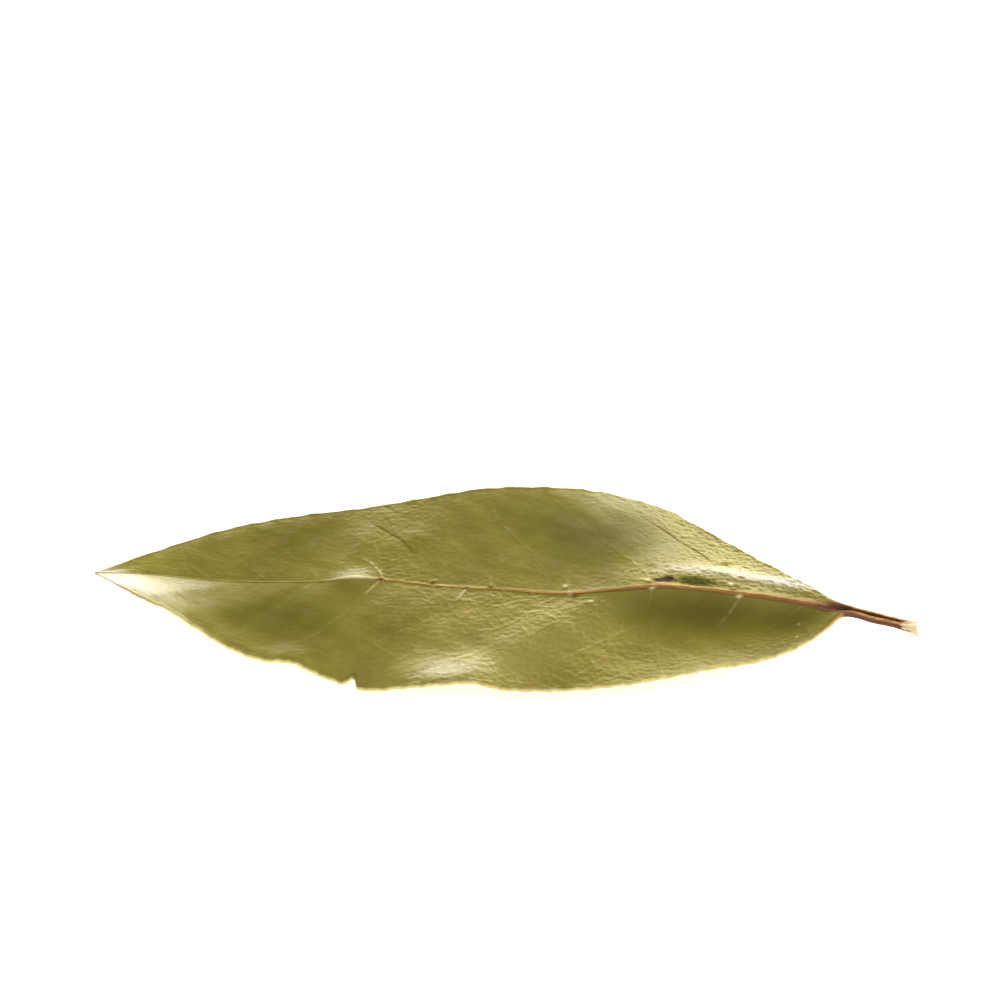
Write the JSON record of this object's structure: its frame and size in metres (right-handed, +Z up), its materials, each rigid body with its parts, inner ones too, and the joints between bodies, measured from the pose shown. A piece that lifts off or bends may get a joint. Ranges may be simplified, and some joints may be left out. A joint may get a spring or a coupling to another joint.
{
  "type": "dried bay leaf",
  "caption": "A whole dried bay leaf with its stalk, lying on its underside, with a raised midrib, wavy margins and a cut stalk end.",
  "frame": {"origin": "the middle of the leaf's footprint, on the surface that it lies on", "axes": "+X along the leaf from its tip to the cut end of its stalk, +Y from its front margin to its back margin, +Z up, out of its upper side"},
  "size_m": [0.09, 0.0316, 0.0046],
  "materials": {
    "dried_leaf": "satin"
  },
  "bodies": {
    "root": {"bay_leaf": "dried_leaf"}
  },
  "joints": []
}
